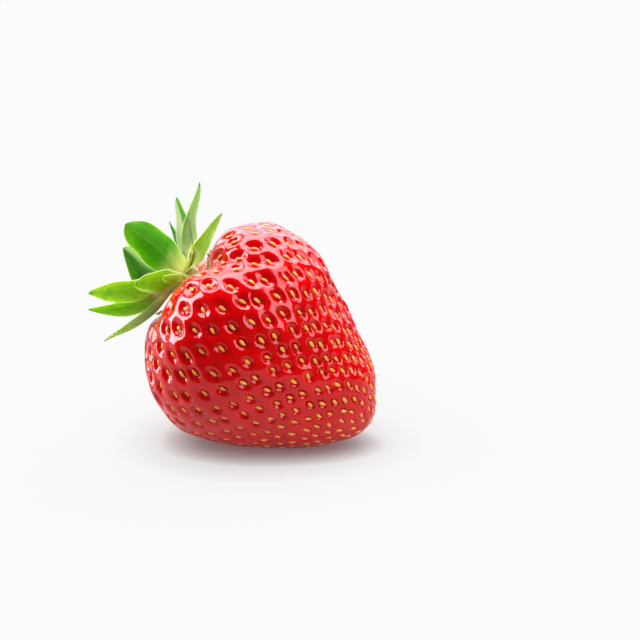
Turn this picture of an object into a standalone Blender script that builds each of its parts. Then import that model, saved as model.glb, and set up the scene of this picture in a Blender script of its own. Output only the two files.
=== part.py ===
"""A ripe strawberry with its calyx, lying on its side on a small flat spot.

Metres, +Z up. The origin is on the resting face, straight below the middle of the fruit. The fruit's
axis runs from the calyx, at -X and high up, to the tip, at +X and low down.

The fruit is described from its middle: every point of its skin is a distance, its reach, from there.
A direction has an angle psi from the tip (0) to the neck (pi), and an angle phi round the axis, from
the top (0) over the front, at -Y, to the belly (pi).
"""

import math

import bmesh
import bpy
import numpy as np
from mathutils import Vector
from mathutils.geometry import delaunay_2d_cdt

MM = 0.001
TINY = 1e-6  # keeps divisions clear of zero

# How the fruit lies
MIDDLE_HEIGHT = 18.1 * MM
AXIS_PITCH = math.radians(37.5)  # the tip is lower than the neck
AXIS_YAW = math.radians(-9)  # and a little nearer the front

# The fruit's outline: its reach along the top and along the belly, by angle from the tip
OUTLINE_ANGLES = np.radians([0, 20, 45, 75, 105, 130, 154, 165, 180])
TOP_REACH = np.array([23.6, 20.9, 16.9, 16.2, 19.7, 22.0, 20.1, 16.5, 15.8]) * MM
BELLY_REACH = np.array([23.6, 21.0, 18.7, 19.3, 21.9, 22.0, 20.3, 16.9, 15.8]) * MM
CHEEK_SWELL = 0.5 * MM  # how far the front and the back stand out past the mean of top and belly

# Furrows that part the shoulder into lobes: angle round the axis, depth, and half-width
FURROWS = (
    (math.radians(38), 2.4 * MM, math.radians(17)),
    (math.radians(128), 0.9 * MM, math.radians(24)),
    (math.radians(214), 0.8 * MM, math.radians(24)),
    (math.radians(305), 1.6 * MM, math.radians(24)),
)
FURROW_START = math.radians(95)
FURROW_FULL = math.radians(150)
FURROW_END = math.radians(28)  # it fades this far from the neck

# Achenes and their pits
SEED_ANGLES = np.radians([0, 25, 45, 70, 100, 130, 160])
SEED_SPACINGS = np.array([2.4, 2.45, 2.7, 3.2, 3.7, 4.1, 4.3]) * MM
SEED_LIMIT = math.radians(157)  # the skin next to the calyx is bare
SEED_JITTER = 0.07  # of the spacing
SEED_HALF_LENGTH = 0.75 * MM
SEED_HALF_WIDTH = 0.5 * MM
SEED_RISE = 0.55 * MM  # above the floor of its pit
SEED_SIDES = 5
SEED_CLEAR = 0.42  # no plain point of the skin is nearer to an achene than this share of the spacing
SEED_DRAW = 5  # starts the random jitter
SPIRAL_STEPS = 400
PIT_DEPTH = 0.75 * MM
PIT_SHARE = 0.36  # a pit's radius, as a share of the spacing there
SKIN_SPACING = 1.75 * MM  # of the plain points between the seeds
RELIEF_FADE = 1.6 * MM  # pits and seeds flatten out this near the resting face
GOLDEN_ANGLE = math.pi * (3 - math.sqrt(5))
MERGE_DISTANCE = 1e-7  # between points of the skin laid out on a plane one unit wide

# Colours, as shares of red, green and blue light, and roughnesses
FLESH = ((0.62, 0.012, 0.012), 0.22)
LEAF = ((0.16, 0.36, 0.03), 0.5)
STAMEN = ((0.62, 0.5, 0.22), 0.7)
STEM = ((0.3, 0.42, 0.1), 0.55)

# Calyx
CLEARANCE = 0.35 * MM
HUB_RADIUS = 3.0 * MM
HUB_FOOT = 0.65 * MM  # above the skin at the neck
HUB_TOP = 3.9 * MM
HUB_SIDES = 20
# The hub's outline: shares of its radius, and of its height from the foot, from the foot up
HUB_OUTLINE = ((0.86, 0), (1, 0.2), (0.97, 0.65), (0.78, 0.92), (0.5, 1))
SEPAL_THICKNESS = 0.64 * MM
SEPAL_STEPS = 9
SEPAL_LANES = 4
SEPAL_ROOT = 1.5 * MM  # from the hub's axis
SEPAL_DROP = 1.1 * MM  # the blades leave the hub this far below its top
SEPAL_LEVEL = 0.3  # the share of its length at which a blade has its stated lift
SEPAL_FOLD = 0.22  # how far the blade's edges stand up, as a share of its half-width
SEPAL_WAVE = 0.1  # and how far they wave
SEPAL_WAVES = (9, 2)  # how fast the wave runs along the blade and across it, in radians
SEPAL_TIP = 0.2 * MM  # half the width that is left at the point, where the solid would be too thin
SEPAL_FOOT = 0.55  # share of the half-width at the root
LANCE = (1.62, 0.8, 0.85)  # outline of a pointed blade: its height and its two powers
OBLONG = (1.1, 0.75, 3.2, 0.62)  # outline of a blunt blade
SEPAL_TWISTED = 0.4  # the share of its length by which a blade has taken its twist
STAMEN_CLEARANCE = 1.5 * MM  # the blades pass this far over the skin close to the hub
STAMEN_ZONE = 6.0 * MM
STAMEN_FADE = 3.6 * MM  # and come down again over this distance

# Each blade: its angle round the axis, its lift from the plane across the axis, its length, its half-width,
# its curl, which turns its end towards the stem (positive) or the fruit (negative), its twist, its sway,
# which bends it sideways like an S, and how blunt its end is, from 0 to 1. The angles are in degrees.
SEPALS = (
    (341, 30, 17 * MM, 2.8 * MM, 14, 35, -22, 0),
    (307, 39, 15.6 * MM, 3 * MM, 10, 10, 10, 0.5),
    (291, 42, 12.4 * MM, 1.3 * MM, 10, 0, 8, 0),
    (54, 71, 14.8 * MM, 4.3 * MM, 24, 0, -6, 0.95),
    (235, 60, 14 * MM, 5.2 * MM, 0, -45, -15, 0.3),
    (115, 38, 9.5 * MM, 3.4 * MM, 30, 30, -16, 0.3),
    (143, 45, 16.4 * MM, 3.7 * MM, 4, 45, 6, 0.2),
    (171, 27, 17.4 * MM, 3.1 * MM, 50, 50, 0, 0.2),
    (200, 31, 13.5 * MM, 1.8 * MM, 8, 30, 0, 0),
    (158, 13, 16.6 * MM, 1.3 * MM, 8, 60, 8, 0),
    (358, 10, 13 * MM, 2.6 * MM, -10, 45, 8, 0),
    (264, 24, 13 * MM, 2 * MM, 14, 0, 0, 0.1),
    (228, 8, 12 * MM, 2 * MM, 10, -15, 0, 0.1),
    (82, 22, 8.5 * MM, 1.6 * MM, 10, 0, 0, 0),
)

# Stamen ring
RING_RADIUS = 3.95 * MM
RING_HALF_WIDTH = 0.42 * MM
RING_HALF_HEIGHT = 0.32 * MM
RING_LIFT = 0.2 * MM
RING_TEETH = 22
RING_TOOTH = 0.45 * MM
RING_STEPS = 88
RING_SIDES = 6
RING_TOOTHED = 0.1  # the teeth are on the sides whose cosine is above this

# Stem stub
STEM_RADIUS = 0.95 * MM
STEM_LENGTH = 3.4 * MM
STEM_GAP = 0.3 * MM
STEM_BEND = 0.9 * MM
STEM_SIDES = 12
STEM_STEPS = 5
STEM_FLARE = 0.12  # how much wider the stem is at its ends


def fruit_axes():
    """Unit vectors towards the tip, the top and the front of the fruit."""
    tip = Vector(
        (
            math.cos(AXIS_PITCH) * math.cos(AXIS_YAW),
            math.cos(AXIS_PITCH) * math.sin(AXIS_YAW),
            -math.sin(AXIS_PITCH),
        )
    )
    front = Vector((math.sin(AXIS_YAW), -math.cos(AXIS_YAW), 0))
    return tip, front.cross(tip), front


TIP, TOP, FRONT = (np.array(axis) for axis in fruit_axes())
MIDDLE = np.array([0, 0, MIDDLE_HEIGHT])


def smoothstep(x):
    x = np.clip(x, 0, 1)
    return x * x * (3 - 2 * x)


def smooth_curve(x, knots, values):
    """A smooth line through the values at the knots, level at both ends."""
    slopes = np.gradient(values, knots)
    slopes[0] = slopes[-1] = 0
    i = np.clip(np.searchsorted(knots, x, side="right") - 1, 0, len(knots) - 2)
    span = knots[i + 1] - knots[i]
    t = (x - knots[i]) / span
    rise = t * t * (3 - 2 * t)
    bend = t * (1 - t) ** 2 * slopes[i] - t * t * (1 - t) * slopes[i + 1]
    return values[i] * (1 - rise) + values[i + 1] * rise + span * bend


def reach(psi, phi):
    """How far the plain skin, without its pits, is from the middle."""
    top_share = (1 + np.cos(phi)) / 2
    top = smooth_curve(psi, OUTLINE_ANGLES, TOP_REACH)
    belly = smooth_curve(psi, OUTLINE_ANGLES, BELLY_REACH)
    behind = np.clip(2 * psi / math.pi - 1, 0, 1)
    found = top * top_share + belly * (1 - top_share)
    found = found + CHEEK_SWELL * np.sin(phi) ** 2 * np.sin(math.pi * behind)
    start = smoothstep((psi - FURROW_START) / (FURROW_FULL - FURROW_START))
    end = np.clip((math.pi - psi) / FURROW_END, 0, 1)
    for angle, depth, half_width in FURROWS:
        away = (phi - angle + math.pi) % (2 * math.pi) - math.pi
        found = found - depth * np.exp(-((away / half_width) ** 2)) * start * end
    return found


def directions(psi, phi):
    across = np.cos(phi)[..., None] * TOP + np.sin(phi)[..., None] * FRONT
    return np.cos(psi)[..., None] * TIP + np.sin(psi)[..., None] * across


def angles(direction):
    """The angles psi and phi of unit directions."""
    psi = np.arccos(np.clip(direction @ TIP, -1, 1))
    return psi, np.arctan2(direction @ FRONT, direction @ TOP)


def resting_reach(direction):
    """The reach along unit directions, cut off level where the fruit rests."""
    down = np.maximum(-direction[..., 2], TINY)
    return np.minimum(reach(*angles(direction)), MIDDLE_HEIGHT / down)


def seed_angles():
    """The achenes in a spiral from the tip, closest together there."""
    psi = np.linspace(0, SEED_LIMIT, SPIRAL_STEPS)
    mean = (reach(psi, 0 * psi) + reach(psi, 0 * psi + math.pi)) / 2
    arc = np.hypot(mean, np.gradient(mean, psi))
    cell = smooth_curve(psi, SEED_ANGLES, SEED_SPACINGS) ** 2 * math.sqrt(3) / 2
    density = 2 * math.pi * mean * np.sin(psi) * arc / cell
    total = np.concatenate([[0], np.cumsum((density[1:] + density[:-1]) / 2 * np.diff(psi))])
    number = np.arange(int(total[-1]))
    return np.interp(number + 0.5, total, psi), number * GOLDEN_ANGLE


def tangents(direction):
    """Unit vectors across each direction: along the meridian, and along the ring round the axis."""
    round_axis = np.cross(TIP, direction)
    round_axis /= np.linalg.norm(round_axis, axis=-1, keepdims=True) + TINY**2
    return np.cross(round_axis, direction), round_axis


def unit(vectors):
    return vectors / np.linalg.norm(vectors, axis=-1, keepdims=True)


def seed_directions():
    """Unit directions to the achenes, and the spacing round each."""
    psi, phi = seed_angles()
    spacing = smooth_curve(psi, SEED_ANGLES, SEED_SPACINGS)
    direction = directions(psi, phi)
    along, across = tangents(direction)
    shift = np.random.default_rng(SEED_DRAW).uniform(-1, 1, (len(psi), 2)) * SEED_JITTER
    step = (spacing / reach(psi, phi))[:, None]
    return unit(direction + step * (shift[:, :1] * along + shift[:, 1:] * across)), spacing


def skin_directions():
    """Evenly spread unit directions for the plain skin between the achenes."""
    count = int(4 * math.pi / (SKIN_SPACING / np.mean(BELLY_REACH)) ** 2 / (math.sqrt(3) / 2))
    number = np.arange(count)
    psi = np.arccos(1 - (2 * number + 1) / count)
    return directions(psi, number * GOLDEN_ANGLE)


def berry_points():
    """Points of the skin: the achenes' tops, their edges, and the plain skin between them."""
    seeds, spacing = seed_directions()
    seed_reach = resting_reach(seeds)
    seed_points = seeds * seed_reach[:, None]
    along, across = tangents(seeds)
    turn = np.arange(SEED_SIDES) * 2 * math.pi / SEED_SIDES
    edge = (
        SEED_HALF_LENGTH * np.cos(turn)[None, :, None] * along[:, None]
        + SEED_HALF_WIDTH * np.sin(turn)[None, :, None] * across[:, None]
    )
    edges = unit(seeds[:, None] + edge / seed_reach[:, None, None]).reshape(-1, 3)
    skin = skin_directions()
    skin = skin[angles(skin)[0] < math.pi - SKIN_SPACING / BELLY_REACH[-1]]
    skin_points = skin * resting_reach(skin)[:, None]
    gap = np.linalg.norm(skin_points[:, None] - seed_points[None], axis=-1)
    skin = skin[(gap > SEED_CLEAR * spacing[None]).all(axis=1)]
    all_directions = np.concatenate([seeds, edges, skin, -TIP[None]])
    plain = resting_reach(all_directions)
    points = all_directions * plain[:, None]
    gap = np.linalg.norm(points[:, None] - seed_points[None], axis=-1)
    pit = PIT_DEPTH * np.exp(-((gap / (PIT_SHARE * spacing[None])) ** 2)).max(axis=1)
    rise = np.zeros(len(points))
    rise[: len(seeds)] = SEED_RISE
    height = points[:, 2] + MIDDLE_HEIGHT
    relief = (rise - pit) * smoothstep(height / RELIEF_FADE)
    return all_directions, MIDDLE + all_directions * (plain + relief)[:, None]


def spherical_faces(direction):
    """Triangles between unit directions, the last of which is the neck.

    Seen from the neck, the others are laid out on a plane, where a flat triangulation is also the best
    one on the sphere. The neck then closes the outline.
    """
    others = direction[:-1]
    scale = 1 + others @ TIP
    flat = np.stack([others @ TOP, others @ FRONT], axis=1) / scale[:, None]
    found = delaunay_2d_cdt([Vector(p) for p in flat], [], [], 0, MERGE_DISTANCE)
    faces = [tuple(face) for face in found[2]]
    sides = {(a, b) for face in faces for a, b in zip(face, face[1:] + face[:1])}
    neck = len(others)
    return faces + [(b, a, neck) for a, b in sides if (b, a) not in sides]


def new_object(name, points, faces, material):
    mesh = bpy.data.meshes.new(name)
    mesh.from_pydata([tuple(map(float, p)) for p in points], [], faces)
    bm = bmesh.new()
    bm.from_mesh(mesh)
    bmesh.ops.recalc_face_normals(bm, faces=bm.faces)
    bm.to_mesh(mesh)
    bm.free()
    mesh.shade_smooth()
    mesh.materials.append(material)
    made = bpy.data.objects.new(name, mesh)
    bpy.context.scene.collection.objects.link(made)
    return made


def new_material(name, colour, roughness):
    material = bpy.data.materials.new(name)
    material.use_nodes = True
    shader = material.node_tree.nodes["Principled BSDF"]
    shader.inputs["Base Color"].default_value = (*colour, 1)
    shader.inputs["Roughness"].default_value = roughness
    shader.inputs["Metallic"].default_value = 0
    return material


def make_berry():
    direction, points = berry_points()
    material = new_material("berry_flesh", *FLESH)
    return new_object("berry", points, spherical_faces(direction), material)


def neck_point(radius, angle, height):
    """A point by its distance from the axis, its angle round it and its height over the neck's skin."""
    across = math.cos(angle) * TOP + math.sin(angle) * FRONT
    return MIDDLE - TIP * (BELLY_REACH[-1] + height) + radius * across


def clear_of_skin(point):
    """The point, moved straight out until it is clear of the fruit and, near the hub, of the stamens."""
    offset = point - MIDDLE
    distance = np.linalg.norm(offset)
    direction = offset / distance
    from_axis = np.linalg.norm(offset - TIP * (offset @ TIP))
    near_hub = 1 - smoothstep((from_axis - STAMEN_ZONE) / STAMEN_FADE)
    clear = CLEARANCE + SEPAL_THICKNESS / 2 + (STAMEN_CLEARANCE - CLEARANCE) * near_hub
    lowest = resting_reach(direction) + clear
    return MIDDLE + direction * max(distance, lowest)


def sepal_half_width(share, widest, blunt):
    """Lance-shaped with a drawn-out point, or oblong where the blade is blunt."""
    height, near, far = LANCE
    lance = height * share**near * (1 - share) ** far
    height, near, end, far = OBLONG
    oblong = height * share**near * (1 - share**end) ** far
    foot = SEPAL_FOOT * (1 - share) ** 2
    return widest * (foot + lance * (1 - blunt) + oblong * blunt) + SEPAL_TIP


def sepal_line(angle, lift, length, curl, twist, sway):
    """A blade's middle line: the share, the point, and unit vectors across it and out of its face."""
    across = -math.sin(angle) * TOP + math.cos(angle) * FRONT
    outward = math.cos(angle) * TOP + math.sin(angle) * FRONT
    point = neck_point(SEPAL_ROOT, angle, HUB_TOP - SEPAL_DROP)
    line = []
    for step in range(SEPAL_STEPS + 1):
        share = step / SEPAL_STEPS
        slope = lift + curl * (share - SEPAL_LEVEL)
        ahead = math.cos(slope) * outward - math.sin(slope) * TIP
        facing = -math.cos(slope) * TIP - math.sin(slope) * outward
        turn = twist * smoothstep(share / SEPAL_TWISTED)
        side = across * math.cos(turn) - facing * math.sin(turn)
        facing = facing * math.cos(turn) + across * math.sin(turn)
        bend = sway * math.sin(2 * math.pi * share)
        line.append((share, point, side * math.cos(bend) - ahead * math.sin(bend), facing))
        point = point + (ahead * math.cos(bend) + side * math.sin(bend)) * length / SEPAL_STEPS
    return line


def sepal_mesh(name, sepal, material):
    """One blade as a closed solid: two waved faces the same way up, and the edge between them."""
    angle, lift, length, widest, curl, twist, sway, blunt = sepal
    angle, lift, curl, twist, sway = (math.radians(a) for a in (angle, lift, curl, twist, sway))
    upper, lower = [], []
    for share, centre, side, facing in sepal_line(angle, lift, length, curl, twist, sway):
        half = sepal_half_width(share, widest, blunt)
        for lane in range(SEPAL_LANES + 1):
            place = 2 * lane / SEPAL_LANES - 1
            wave = SEPAL_WAVE * math.sin(SEPAL_WAVES[0] * share + SEPAL_WAVES[1] * place + angle)
            fold = (SEPAL_FOLD + wave) * half * place * place
            point = clear_of_skin(centre + side * place * half + facing * fold)
            upper.append(point + facing * SEPAL_THICKNESS / 2)
            lower.append(point - facing * SEPAL_THICKNESS / 2)
    faces = blade_faces(SEPAL_STEPS + 1, SEPAL_LANES + 1)
    return new_object(name, upper + lower, faces, material)


def blade_faces(rows, lanes):
    """Triangles of a blade's two faces, split the same way, and of the strip round its edge."""
    count = rows * lanes
    faces = []
    for row in range(rows - 1):
        for lane in range(lanes - 1):
            a = row * lanes + lane
            b, c, d = a + 1, a + lanes + 1, a + lanes
            faces += [(a, b, c), (a, c, d)]
            faces += [(count + a, count + c, count + b), (count + a, count + d, count + c)]
    rim = list(range(lanes))
    rim += [row * lanes + lanes - 1 for row in range(1, rows)]
    rim += [(rows - 1) * lanes + lane for lane in range(lanes - 2, -1, -1)]
    rim += [row * lanes for row in range(rows - 2, 0, -1)]
    for a, b in zip(rim, rim[1:] + rim[:1]):
        faces += [(b, a, count + a), (b, count + a, count + b)]
    return faces


def turned_mesh(name, profile, sides, material, bend=0):
    """A solid turned round the neck's axis from (radius, height) pairs, with flat ends."""
    points = []
    for radius, height in profile:
        lean = bend * smoothstep((height - profile[0][1]) / (profile[-1][1] - profile[0][1]))
        for side in range(sides):
            points.append(neck_point(radius, side * 2 * math.pi / sides, height) + TOP * lean)
    faces = []
    for ring in range(len(profile) - 1):
        for side in range(sides):
            a, b = ring * sides + side, ring * sides + (side + 1) % sides
            faces.append((a, b, b + sides, a + sides))
    faces.append(tuple(range(sides - 1, -1, -1)))
    faces.append(tuple(range(len(points) - sides, len(points))))
    return new_object(name, points, faces, material)


def fill_pockets(mesh):
    """Keeps only the outer shell, so that a pocket closed in between the blades is solid."""
    bm = bmesh.new()
    bm.from_mesh(mesh)
    left = set(bm.verts)
    shells = []
    while left:
        shell, edge = set(), {left.pop()}
        while edge:
            shell |= edge
            edge = {side.other_vert(vertex) for vertex in edge for side in vertex.link_edges} - shell
        left -= shell
        shells.append(shell)
    outer = max(shells, key=len)
    bmesh.ops.delete(bm, geom=[vertex for vertex in bm.verts if vertex not in outer], context="VERTS")
    bm.to_mesh(mesh)
    bm.free()


def make_calyx():
    """The hub with its blades, joined into one body."""
    material = new_material("calyx_green", *LEAF)
    rise = HUB_TOP - HUB_FOOT
    profile = [(HUB_RADIUS * width, HUB_FOOT + rise * share) for width, share in HUB_OUTLINE]
    hub = turned_mesh("calyx", profile, HUB_SIDES, material)
    blades = bpy.data.collections.new("blades")
    bpy.context.scene.collection.children.link(blades)
    for number, sepal in enumerate(SEPALS):
        blade = sepal_mesh(f"blade_{number}", sepal, material)
        bpy.context.scene.collection.objects.unlink(blade)
        blades.objects.link(blade)
    join = hub.modifiers.new("join", "BOOLEAN")
    join.operation = "UNION"
    join.operand_type = "COLLECTION"
    join.collection = blades
    joined = bpy.data.meshes.new_from_object(hub.evaluated_get(bpy.context.evaluated_depsgraph_get()))
    hub.modifiers.remove(join)
    fill_pockets(joined)
    hub.data = joined
    for blade in list(blades.objects):
        bpy.data.objects.remove(blade)
    bpy.data.collections.remove(blades)
    return hub


def make_stamen_ring():
    """A closed ring round the hub, with the stamens' withered ends as teeth along its outer edge."""
    points = []
    for step in range(RING_STEPS):
        angle = step * 2 * math.pi / RING_STEPS
        tooth = RING_TOOTH * (1 + math.cos(RING_TEETH * angle)) / 2
        for side in range(RING_SIDES):
            turn = (side + 0.5) * 2 * math.pi / RING_SIDES
            out = RING_HALF_WIDTH * math.cos(turn) + (tooth if math.cos(turn) > RING_TOOTHED else 0)
            radius = RING_RADIUS + out
            point = neck_point(radius, angle, 0)
            direction = unit(point - MIDDLE)
            up = CLEARANCE + RING_LIFT + RING_HALF_HEIGHT * math.sin(turn)
            points.append(MIDDLE + direction * (resting_reach(direction) + up))
    faces = []
    for step in range(RING_STEPS):
        for side in range(RING_SIDES):
            a, b = step * RING_SIDES + side, step * RING_SIDES + (side + 1) % RING_SIDES
            c, d = (i + RING_SIDES for i in (b, a))
            count = len(points)
            faces += [(a, b, c % count), (a, c % count, d % count)]
    return new_object("stamen_ring", points, faces, new_material("stamen", *STAMEN))


def make_stem_stub():
    """The cut end of the stem, slightly bent and flared at the cut."""
    start = HUB_TOP + STEM_GAP
    profile = []
    for step in range(STEM_STEPS + 1):
        share = step / STEM_STEPS
        flare = 1 + STEM_FLARE * (2 * share - 1) ** 2
        profile.append((STEM_RADIUS * flare, start + STEM_LENGTH * share))
    material = new_material("stem_green", *STEM)
    return turned_mesh("stem_stub", profile, STEM_SIDES, material, STEM_BEND)


def main():
    for old in list(bpy.data.objects):
        bpy.data.objects.remove(old)
    make_berry()
    make_calyx()
    make_stamen_ring()
    make_stem_stub()


main()
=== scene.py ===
"""The looks of a ripe strawberry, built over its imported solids.

Metres, +Z up, in the frame of the solids: the fruit lies on its side on the floor, its calyx at -X and
high up, its tip at +X and low down. Every point of the skin is a distance, its reach, from the middle of
the fruit, in a direction that has an angle psi from the tip (0) to the neck (pi) and an angle phi round
the axis, from the top (0) over the front (-Y) to the belly (pi).
"""

import math

import bpy
import numpy as np
from bpy.props import FloatProperty, FloatVectorProperty, IntProperty, PointerProperty
from mathutils import Matrix, Vector


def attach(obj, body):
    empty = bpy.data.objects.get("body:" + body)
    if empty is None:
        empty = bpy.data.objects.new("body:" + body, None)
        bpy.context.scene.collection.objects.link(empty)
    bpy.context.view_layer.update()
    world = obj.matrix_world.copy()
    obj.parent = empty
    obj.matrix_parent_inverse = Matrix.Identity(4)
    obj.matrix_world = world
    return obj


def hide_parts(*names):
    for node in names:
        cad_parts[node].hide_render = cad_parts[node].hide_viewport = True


bl_info = {
    "name": "Strawberry",
    "version": (1, 0, 0),
    "blender": (4, 5, 0),
    "location": "3D View > Sidebar > Strawberry",
    "description": "Builds the detailed skin, achenes, calyx and stem of a strawberry",
    "category": "Object",
}

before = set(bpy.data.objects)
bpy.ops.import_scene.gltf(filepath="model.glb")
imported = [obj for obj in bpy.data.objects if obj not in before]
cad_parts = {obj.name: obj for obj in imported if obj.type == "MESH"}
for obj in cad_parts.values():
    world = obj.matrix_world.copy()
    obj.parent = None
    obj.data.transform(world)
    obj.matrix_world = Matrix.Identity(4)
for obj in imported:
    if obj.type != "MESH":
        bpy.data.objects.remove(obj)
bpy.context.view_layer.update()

MM = 0.001

# How the fruit lies, and its outline, as in the solids
MIDDLE_HEIGHT = 18.1 * MM
AXIS_PITCH = math.radians(37.5)
AXIS_YAW = math.radians(-9)
OUTLINE_ANGLES = np.radians([0, 20, 45, 75, 105, 130, 154, 165, 180])
TOP_REACH = np.array([23.6, 20.9, 16.9, 16.2, 19.7, 22.0, 20.1, 16.5, 15.8]) * MM
BELLY_REACH = np.array([23.6, 21.0, 18.7, 19.3, 21.9, 22.0, 20.3, 16.9, 15.8]) * MM
CHEEK_SWELL = 0.5 * MM

# Each furrow: its angle phi and half-width in degrees, and its depth. Furrows begin and are full at two
# angles psi, and fade over the last one before the neck
FURROWS = ((38, 17, 2.4 * MM), (128, 24, 0.9 * MM), (214, 24, 0.8 * MM), (305, 24, 1.6 * MM))
FURROW_START = math.radians(95)
FURROW_FULL = math.radians(150)
FURROW_END = math.radians(28)

# Skin: how often the cube that it starts from is halved, the wavelengths and heights of its soft lumps,
# the height over the floor at which they are full, and the angles psi where it pales at the neck, partly as a
# painted highlight
SKIN_HALVINGS = 7
LUMP_LENGTHS = np.array([13, 9, 9, 6, 6, 4.5]) * MM
LUMP_HEIGHTS = np.array([0.10, 0.08, 0.08, 0.05, 0.05, 0.035]) * MM
LUMP_FADE = 4 * MM
NECK_START = math.radians(141)
NECK_FULL = math.radians(170)

# Achenes: how far apart they are along the fruit, and how far they stray, in spacings
SEED_ANGLES = np.radians([0, 25, 45, 70, 100, 130, 160])
SEED_SPACINGS = np.array([2.4, 2.45, 2.7, 3.2, 3.7, 4.1, 4.3]) * MM
SEED_LIMIT = math.radians(157)
SEED_JITTER = 0.12
GOLDEN_ANGLE = math.pi * (3 - math.sqrt(5))

# An achene's middle over its pit's floor and, under the fruit, over the plain skin, in thicknesses, and
# the least height over the floor at which there is one
SEED_SEAT = 0.24
SEED_LOW_SEAT = -0.42
SEED_LOWEST = 0.9 * MM

# Pits: how they stretch along the fruit, round it and into it; their half-width at the tip and what the
# shoulder adds to it, in spacings; how steep their walls are; the share of the depth and the width, in
# pits, of the shallow bowl round each; the share of the depth that is left at the tip and close to the
# floor; and the height from which the floor no longer flattens them
PIT_STRETCH = (1.24, 0.84, 1.0)
PIT_HALF_WIDTH = 0.25
PIT_WIDENING = 0.06
PIT_STEEPNESS = 3.3
BOWL_SHARE = 0.2
BOWL_WIDER = 1.4
TIP_DEPTH = 0.6
FLOOR_DEPTH = 0.7
RELIEF_FADE = 1.6 * MM

# The dry styles: how many of the achenes keep theirs, its radius, and how near the floor it may come
STYLE_SHARE = 0.85
STYLE_RADIUS = 0.024 * MM
STYLE_LOWEST = 0.25 * MM

# Calyx: how clear of the fruit it stays, its hub, from foot to top over the neck, the half-width of the
# hub's ribs in radians, and how far from the axis and under the hub's top the blades begin
CLEARANCE = 0.35 * MM
HUB_RADIUS = 3.0 * MM
HUB_FOOT = 0.65 * MM
HUB_TOP = 3.9 * MM
HUB_RIB = 0.2
SEPAL_ROOT = 1.5 * MM
SEPAL_DROP = 1.1 * MM

# Blades: the share of the length at which the curl has no effect and by which the twist is full, and, in
# half-widths, how deep they fold, groove and wave and how far their margin is crisped
SEPAL_LEVEL = 0.3
SEPAL_TWISTED = 0.4
SEPAL_FOLD = 0.22
SEPAL_GROOVE = 0.05
SEPAL_WAVE = 0.12
SEPAL_CRISP = 0.05

# The room under the blades for the stamens, how far from the axis it is full and over what it ends
STAMEN_CLEARANCE = 1.5 * MM
STAMEN_ZONE = 6.0 * MM
STAMEN_FADE = 3.6 * MM

# Each blade: angle phi, lift, length, half-width, curl, twist, sway and how blunt its end is, as in the
# solids, then its tone, from 0, pale, through yellow-green and green to 1, dark, and how much of one side
# is paled, with the side as its sign: a blade's own paler side, and on the lowest blade painted light
SEPALS = (
    (341, 30, 17 * MM, 2.8 * MM, 14, 35, -22, 0.0, 0.06, 0),
    (307, 39, 15.6 * MM, 3 * MM, 10, 10, 10, 0.5, 0.60, -1.05),
    (291, 42, 12.4 * MM, 1.3 * MM, 10, 0, 8, 0.0, 0.8, 0),
    (54, 71, 14.8 * MM, 4.3 * MM, 24, 0, -6, 0.95, 0.64, 0),
    (235, 60, 14 * MM, 5.2 * MM, 0, -45, -15, 0.3, 0.93, 1.1),
    (115, 38, 9.5 * MM, 3.4 * MM, 30, 30, -16, 0.3, 0.34, 0.45),
    (143, 45, 16.4 * MM, 3.7 * MM, 4, 45, 6, 0.2, 0.30, 0),
    (171, 27, 17.4 * MM, 3.1 * MM, 50, 50, 0, 0.2, 0.42, 0),
    (200, 31, 13.5 * MM, 1.8 * MM, 8, 30, 0, 0.0, 0.85, 0),
    # the lowest blade, given a pale tone and paled whole as painted light where it lies in shade
    (158, 13, 16.6 * MM, 1.3 * MM, 8, 60, 8, 0.0, 0.06, 2.3),
    (358, 10, 13 * MM, 2.6 * MM, -10, 45, 8, 0.0, 0.32, 0),
    (264, 24, 13 * MM, 2 * MM, 14, 0, 0, 0.1, 0.6, 0.4),
    (228, 8, 12 * MM, 2 * MM, 10, -15, 0, 0.1, 0.6, 0),
    (82, 22, 8.5 * MM, 1.6 * MM, 10, 0, 0, 0.0, 0.3, 0),
)

# A blade's thickness, in that of its midrib: what the margin and the end lose, and the least
MARGIN_THINNING = 0.72
END_THINNING = 0.6
THINNEST = 0.18

# Stamens: their distance from the axis at the root, their shortest and longest, and their thickness
STAMEN_ROOT = 2.7 * MM
STAMEN_LENGTHS = (2.8 * MM, 4.6 * MM)
STAMEN_RADIUS = 0.12 * MM
ANTHER_HALF_SIZE = np.array([0.22, 0.16, 0.4]) * MM

# Stem: how deep it sits in the hub, how far it stands out and leans, and its radius; then rings of its
# flared foot and its hollow end, by radius and share of the height, of which the last ones are the cut
STEM_SUNK = 0.5 * MM
STEM_HEIGHT = 3.7 * MM
STEM_LEAN = 0.9 * MM
STEM_RADIUS = 0.95 * MM
STEM_FOOT = ((1.75, 0.0), (1.4, 0.06), (1.12, 0.16))
STEM_END = ((1.06, 0.97), (1.03, 0.99), (0.97, 1.0), (0.86, 0.995), (0.6, 0.975), (0.3, 0.965))
STEM_CUT_RINGS = 4

# Colours that the materials mix with those in the settings
FLESH_PATCHES = (0.54, 0.0004, 0.0012)
FLESH_SPECKS = (0.85, 0.10, 0.05)
RED_SEED = (0.92, 0.28, 0.05)
SEED_SPECKS = (0.45, 0.12, 0.02)
STYLE_PATCHES = (0.62, 0.26, 0.14)
GREEN_PATCHES = (0.14, 0.36, 0.002)
GREEN_SHADE = (0.45, 0.62, 0.4)
VEIN_COLOUR = (0.26, 0.42, 0.05)
DRIED_COLOUR = (0.085, 0.085, 0.035)
HUB_COLOUR = (0.62, 0.62, 0.14)
HUB_PATCHES = (0.40, 0.52, 0.08)
HUB_SPECKS = (0.66, 0.30, 0.14)
STEM_PATCHES = (0.22, 0.36, 0.06)
CUT_COLOUR = (0.62, 0.60, 0.30)
WHITE = (1.0, 1.0, 1.0)

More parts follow.
